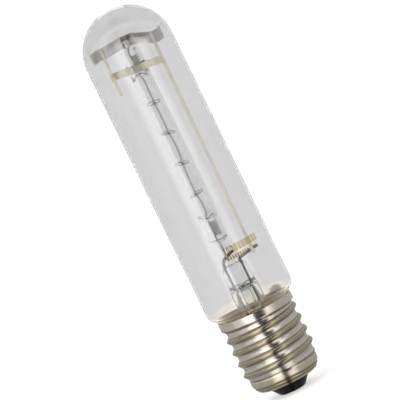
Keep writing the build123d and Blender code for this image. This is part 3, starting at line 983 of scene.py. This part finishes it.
# Screw cap: thin brass drawn into a cup, its thread rolled in between two shaped wheels, then plated
# with nickel. The thread shows inside as well, because the sheet keeps its thickness.
# Use has worn the crests to a dull brass and scuffed the corner. Painted shade, with some grime, darkens the
# thread's flanks, the drawing rings, the step under the plain band and the lower corner, which faces down.
cap_sides = 192
cap_wall = 0.0005
wall_step = 0.00025
thread_major = 0.01965
thread_depth = 0.00175
thread_minor = thread_major - thread_depth
thread_pitch = 0.00635
thread_height_at_x = 0.01325
thread_narrowness = 1.8
fade_start = 0.0124
fade_length = 0.004
band_height = 0.0037
band_step = 0.0014
floor_hole = 0.0109
corner_radius = 0.0065
corner_squareness = 2.5
corner_steps = 48
groove_heights = [0.0134, 0.0088, 0.0074]
groove_depth = 0.0004
groove_half_width = 0.0006
crest_worn = (0.38, 0.315, 0.17)
crest_strength = 0.75
crest_from = 0.3
crest_full = 0.95
# Tone and strength of the painted shade, with some grime, in the flanks, the drawing rings and the step under
# the band.
shade_and_grime_tone = (0.2, 0.16, 0.09)
shade_and_grime_strength = 0.75
flank_wave = 0.15
flank_half_wave = 0.6
step_half_height = 0.0006
corner_brass = (0.77, 0.67, 0.48)
corner_strength = 0.8
corner_fade = 0.0018
# The painted shade, with some scuffing, of the lower corner, which faces down.
scuff_and_shade_tone = (0.5, 0.45, 0.34)
scuff_and_shade_strength = 0.7
scuff_and_shade_top = 0.0098
scuff_and_shade_fade = 0.0006
cap_low, cap_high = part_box("cap_shell")
rim_radius = cap_high.x
band_bottom = cap_high.z - band_height
corner_height = cap_low.z + corner_radius
corner_centre = thread_minor - corner_radius


def thread_lift(angle, height):
    """How far the rolled thread stands out of the plain wall at an angle and a height."""
    phase = (height - thread_height_at_x) / thread_pitch - angle / (2 * pi)
    crest = (0.5 + 0.5 * cos(2 * pi * phase)) ** thread_narrowness
    return thread_depth * crest * clamped((height - fade_start) / fade_length)


def groove_inset(height):
    """How far the shallow rings that the drawing tools left round the cap's corner go in at a height."""
    asides = [(height - groove) / groove_half_width for groove in groove_heights]
    return groove_depth * sum(exp(-(aside**2)) for aside in asides)


def band_rise(height):
    """How far the smooth step from the thread to the plain band has gone at a height."""
    return eased((height - band_bottom + band_step) / band_step)


def cap_ring(height, inset):
    """The cap's wall at a height: thread below, plain band above, with a smooth step between them."""
    ring = []
    for side in range(cap_sides):
        angle = 2 * pi * side / cap_sides
        threaded = thread_minor + thread_lift(angle, height)
        reach = threaded + max(rim_radius - threaded, 0) * band_rise(height) - inset - groove_inset(height)
        ring.append(Vector((reach * cos(angle), reach * sin(angle), height)))
    return ring


def drawn_corner(radius, steps):
    """Points of the corner between the cap's floor and its wall, a little squarer than a round one."""
    points = []
    for angle in spaced(0, pi / 2, steps):
        across = sin(angle) ** (2 / corner_squareness)
        down = cos(angle) ** (2 / corner_squareness)
        height = corner_height - radius * down
        points.append((corner_centre + radius * across - groove_inset(height), height))
    return points


def thread_wave(angle, height):
    """One on the thread's crest and minus one in its valley, all along the helix."""
    phase = (height - thread_height_at_x) / thread_pitch - (angle - pi / 2) / (2 * pi)
    turn = phase * (2 * pi)
    return turn.worked("COSINE", turn)


wall_heights = spaced(corner_height, cap_high.z, round((cap_high.z - corner_height) / wall_step))
outer_corner = drawn_corner(corner_radius, corner_steps)
inner_corner = drawn_corner(corner_radius - cap_wall, corner_steps // 2)[::-1]
cap_rings = turned([(floor_hole, cap_low.z), *outer_corner[:-1]], cap_sides)
cap_rings += [cap_ring(height, 0) for height in wall_heights]
cap_rings += [cap_ring(height, cap_wall) for height in wall_heights[::-2]]
cap_rings += turned([*inner_corner[1:], (floor_hole, cap_low.z + cap_wall)], cap_sides)
cap_shape = bmesh.new()
add_skin(cap_shape, cap_rings, closed=True)
cap = finished("screw_cap", cap_shape, sharp_angle=60)
nickel_plate = metal_finish(
    "nickel_plate", relief=0.00002, clean=(0.75, 0.695, 0.62), tarnished=(0.56, 0.49, 0.37), amount=0.6,
    patch=160.0, stretch=(120.0, 120.0, 5000.0), smooth=0.13, rough=0.26,
)
cap_x, cap_y, cap_rise = surface_place(nickel_plate)
wave = thread_wave(angle_round(cap_x, cap_y), cap_rise)
on_thread = cap_rise.within(fade_start + fade_length / 2, band_bottom - band_step / 2, fade_length / 4)
crest = wave.ramp(crest_from, crest_full) * crest_strength
beside_crest = wave - flank_wave
flank_shade_and_grime = beside_crest.worked("ABSOLUTE", beside_crest).ramp(flank_half_wave, 0.0) * shade_and_grime_strength
step_softness = step_half_height / 2
under_band = cap_rise.within(band_bottom - band_step, band_bottom - step_softness, step_softness)
groove_shade_and_grime = 0.0
beside_groove = groove_half_width / 2
for groove in groove_heights:
    ring = cap_rise.within(groove - beside_groove, groove + beside_groove, beside_groove)
    groove_shade_and_grime = ring.larger(groove_shade_and_grime)
tint(nickel_plate, corner_brass, cap_rise.below(corner_height, corner_fade) * corner_strength)
# Painted shade, with some scuffing: the lower corner, which faces down, is darkened.
tint(nickel_plate, scuff_and_shade_tone, cap_rise.below(scuff_and_shade_top, scuff_and_shade_fade) * scuff_and_shade_strength)
# Painted shade, with some grime: the drawing rings, the thread's flanks and the step under the plain band are
# darkened.
tint(nickel_plate, shade_and_grime_tone, groove_shade_and_grime)
tint(nickel_plate, crest_worn, crest * on_thread)
tint(nickel_plate, shade_and_grime_tone, flank_shade_and_grime * on_thread)
tint(nickel_plate, shade_and_grime_tone, under_band * shade_and_grime_strength)
give(cap, nickel_plate)
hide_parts("cap_shell")

# Capping cement: a ring of marble flour and resin between the neck and the cap. It is filled in as a paste
# and baked hard, which browns it unevenly, so it shows in light and dark streaks through the glass.
cement_clearance = 0.00005
cement_steps = 12
cement_relief_strength = 1.0
cement_relief = 0.0002
cement_low, cement_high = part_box("capping_cement")
cement_profile = []
for height in spaced(cement_high.z, cement_low.z, cement_steps):
    neck_outside = neck_radius + rounded_off(height - neck_height, neck_blend)
    cement_profile.append((neck_outside + cement_clearance, height))
for height in spaced(cement_low.z, cement_high.z, cement_steps):
    cap_inside = thread_minor + (rim_radius - thread_minor) * band_rise(height) - cap_wall
    cement_profile.append((cap_inside - cement_clearance, height))
cement_shape = bmesh.new()
add_skin(cement_shape, turned(cement_profile, cap_sides), closed=True)
cement_ring = finished("cement_ring", cement_shape, sharp_angle=40)
cement, cement_shader, cement_grain = finish(
    "baked_cement", clean=(0.95, 0.79, 0.44), tarnished=(0.62, 0.44, 0.16), amount=1.0, patch=700.0,
    stretch=(3000.0, 3000.0, 3000.0), smooth=0.7, rough=0.95,
)
add_relief(cement, cement_shader, cement_grain, cement_relief_strength, cement_relief)
give(cement_ring, cement)
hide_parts("capping_cement")

# Cap insulator and contact: black glass, pressed hot through the hole in the cap's floor, holds the
# plated contact plate. The centre lead comes through and is soldered in the plate's middle.
black_glass, black_shader, _ = finish(
    "black_glass", clean=(0.006, 0.006, 0.007), tarnished=(0.02, 0.018, 0.015), amount=0.5, patch=300.0,
    stretch=(500.0, 500.0, 500.0), smooth=0.08, rough=0.22,
)
black_shader.inputs["Specular IOR Level"].default_value = 0.15
give(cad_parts["cap_insulator"], black_glass)
contact_plate = metal_finish(
    "contact_plate", relief=0.00002, clean=(0.68, 0.62, 0.5), tarnished=(0.42, 0.36, 0.24), amount=0.6,
    patch=500.0, stretch=(2500.0, 2500.0, 900.0), smooth=0.2, rough=0.4,
)
give(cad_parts["centre_contact"], contact_plate)
solder = metal_finish(
    "dull_solder", relief=0.00004, clean=(0.55, 0.55, 0.56), tarnished=(0.36, 0.36, 0.37), amount=0.7,
    patch=900.0, stretch=(1800.0, 1800.0, 1800.0), smooth=0.3, rough=0.5,
)
give(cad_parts["contact_solder"], solder)

# Studio: an even white room with a white floor, which takes the lamp's shadow, and a soft panel in front
# at each side. A dark card between the panels, grey flags at both sides, a ceiling and an apron on the floor
# show only in metal and glass, and give them their dark streak, their highlights and their grey edges.
white = (1.0, 1.0, 1.0, 1.0)
room_fill = 0.75
floor_half = 6.0
floor_colour = (0.8, 0.8, 0.8, 1.0)
floor_glow = 0.5
screen_height = 0.5
panel_distance = 0.15
panel_reach = 0.2
panel_top = 0.29
panel_top_fade = 0.04
panel_upper = 0.45
card_left = -0.029
card_right = 0.066
flag_place = 0.12
flag_start = -0.03
flag_end = 4.0
flag_level = 0.52
bright_flag_level = 0.75
ceiling_half = 0.4
ceiling_level = 0.62
apron_rise = 0.0005
apron_far = 0.5
apron_level = 0.42
apron_light = 0.85
apron_softness = 0.16
left_light_span = (-0.62, -0.14)
right_light_span = (0.14, 0.55)
right_light_share = 0.9
streak_span = (-0.12, 0.1)
streak_softness = 0.06
streak_depth = 0.8
foot_shade_from = 0.021
foot_shade_to = 0.034


def seen_background(tree):
    """One where the camera sees the room, straight on or in metal and glass, and nought elsewhere."""
    path = add_node(tree, "LightPath")
    rays = [Reading(tree, path.outputs[f"Is {kind} Ray"]) for kind in ("Camera", "Glossy", "Transmission")]
    return rays[0].larger(rays[1]).larger(rays[2]).socket


def card(name, corners):
    """A flat sheet of the studio, given by its four corners."""
    mesh = bpy.data.meshes.new(name)
    mesh.from_pydata(corners, [], [(0, 1, 2, 3)])
    made = bpy.data.objects.new(name, mesh)
    bpy.context.collection.objects.link(made)
    return made


def level_card(name, left, right, near, far, height):
    """A card that lies level."""
    plan = [(left, near), (right, near), (right, far), (left, far)]
    return card(name, [(x, y, height) for x, y in plan])


def screen(name, start, end):
    """An upright card on the floor between two places in plan."""
    return card(name, [(*start, 0), (*end, 0), (*end, screen_height), (*start, screen_height)])


def bare_material(name):
    """Starts a material that has no shader yet. Gives it with the socket for its surface."""
    material = bpy.data.materials.new(name)
    material.use_nodes = True
    nodes = material.node_tree.nodes
    nodes.remove(nodes["Principled BSDF"])
    return material, nodes["Material Output"].inputs["Surface"]


def glow(made):
    """Makes a card give light that the camera doesn't see. Gives its material and the light's strength."""
    made.visible_camera = False
    made.visible_shadow = False
    material, surface = bare_material(made.name)
    light = add_node(material.node_tree, "Emission")
    material.node_tree.links.new(light.outputs["Emission"], surface)
    give(made, material)
    return material, light.inputs["Strength"]


def in_gloss_only(made):
    """Keeps a card to what polished metal and glossy glass mirror."""
    made.visible_diffuse = False
    made.visible_transmission = False


def soft_panel(name, left, right, low, high, fade_from, fade_to):
    """A panel that faces the lamp and greys at its top. It goes from low to high between two places."""
    made = screen(name, (left, -panel_distance), (right, -panel_distance))
    material, strength = glow(made)
    x, _, z = surface_place(material)
    level = x.ramp(fade_from, fade_to) * (high - low) + (low - panel_upper)
    level = level * z.below(panel_top, panel_top_fade) + panel_upper
    material.node_tree.links.new(level.socket, strength)
    return made


def flag(name, start, end, level):
    """An even card that stands on the floor and shows only in gloss."""
    made = screen(name, start, end)
    glow(made)[1].default_value = level
    in_gloss_only(made)


world = bpy.data.worlds.new("white_room")
world.use_nodes = True
bpy.context.scene.world = world
room = world.node_tree
room_shown = room.nodes["Background"]
room_shown.inputs["Color"].default_value = white
room_shown.inputs["Strength"].default_value = 1.0
room_light = add_node(room, "Background", {"Color": white, "Strength": room_fill})
room_parts = {"Fac": seen_background(room), 1: room_light.outputs[0], 2: room_shown.outputs[0]}
room_mix = add_node(room, "MixShader", room_parts)
room.links.new(room_mix.outputs["Shader"], room.nodes["World Output"].inputs["Surface"])

floor = level_card("floor", -floor_half, floor_half, -floor_half, floor_half, 0)
floor_white, floor_surface = bare_material("floor_white")
floor_tree = floor_white.node_tree
floor_paint = add_node(floor_tree, "BsdfDiffuse", {"Color": floor_colour})
floor_seen = Reading(floor_tree, seen_background(floor_tree)) * floor_glow
floor_light = add_node(floor_tree, "Emission", {"Strength": floor_seen.socket})
floor_sum = add_node(floor_tree, "AddShader", {0: floor_paint.outputs[0], 1: floor_light.outputs[0]})
floor_tree.links.new(floor_sum.outputs["Shader"], floor_surface)
give(floor, floor_white)

soft_panel("left_panel", -panel_reach, card_left, low=0.75, high=2.0, fade_from=-panel_reach, fade_to=-0.065)
soft_panel("right_panel", card_right, panel_reach, low=0.5, high=1.35, fade_from=panel_reach, fade_to=0.08)
dark_card = soft_panel("dark_card", card_left, card_right, low=0.04, high=0.7, fade_from=0.034, fade_to=0.085)
in_gloss_only(dark_card)
for name, side, front_level in (("left_flag", -1, bright_flag_level), ("right_flag", 1, flag_level)):
    start = (side * flag_place, flag_start)
    flag(f"{name}_front", (side * panel_reach, -panel_distance), start, front_level)
    flag(name, start, (side * flag_place, flag_end), flag_level)
ceiling = level_card("ceiling", -ceiling_half, ceiling_half, -ceiling_half, ceiling_half, screen_height)
in_gloss_only(ceiling)
glow(ceiling)[1].default_value = ceiling_level
apron = level_card("apron", -flag_place, flag_place, -panel_distance, apron_far, apron_rise)
in_gloss_only(apron)
apron_glow, apron_strength = glow(apron)
apron_x, apron_y, _ = surface_place(apron_glow)
apron_angle = angle_round(apron_x, apron_y)
left_light = apron_angle.within(*left_light_span, apron_softness)
right_light = apron_angle.within(*right_light_span, apron_softness) * right_light_share
clear_of_lamp = distance_out(apron_x, apron_y).ramp(foot_shade_from, foot_shade_to)
streak = apron_angle.within(*streak_span, streak_softness) * streak_depth
level = (left_light + right_light) * clear_of_lamp * apron_light + apron_level
apron_glow.node_tree.links.new((level * (1.0 - streak)).socket, apron_strength)

# Camera: a long lens from a little above the lamp's middle, rolled so that the dome leans to the left.
# The lamp fills the frame from corner to corner, as it does when it is laid on the slant.
lens = 400.0
sensor = 36.0
view_width = 0.1969
view_elevation = radians(6.1)
view_roll = radians(25.88)
view_target = Vector((-0.0007, 0, 0.1054))
back = Vector((0, -cos(view_elevation), sin(view_elevation)))
axis_up = Vector((0, sin(view_elevation), cos(view_elevation)))
across = Vector((1, 0, 0))
right = cos(view_roll) * across - sin(view_roll) * axis_up
up = sin(view_roll) * across + cos(view_roll) * axis_up
camera_data = bpy.data.cameras.new("camera")
camera_data.lens = lens
camera_data.sensor_width = sensor
camera = bpy.data.objects.new("camera", camera_data)
bpy.context.collection.objects.link(camera)
turn = Matrix((right, up, back)).transposed()
camera.matrix_world = Matrix.Translation(view_target + back * view_width * lens / sensor) @ turn.to_4x4()
scene = bpy.context.scene
scene.camera = camera
scene.view_settings.view_transform = "Standard"
scene.cycles.max_bounces = 24
scene.cycles.transmission_bounces = 24
scene.cycles.glossy_bounces = 8
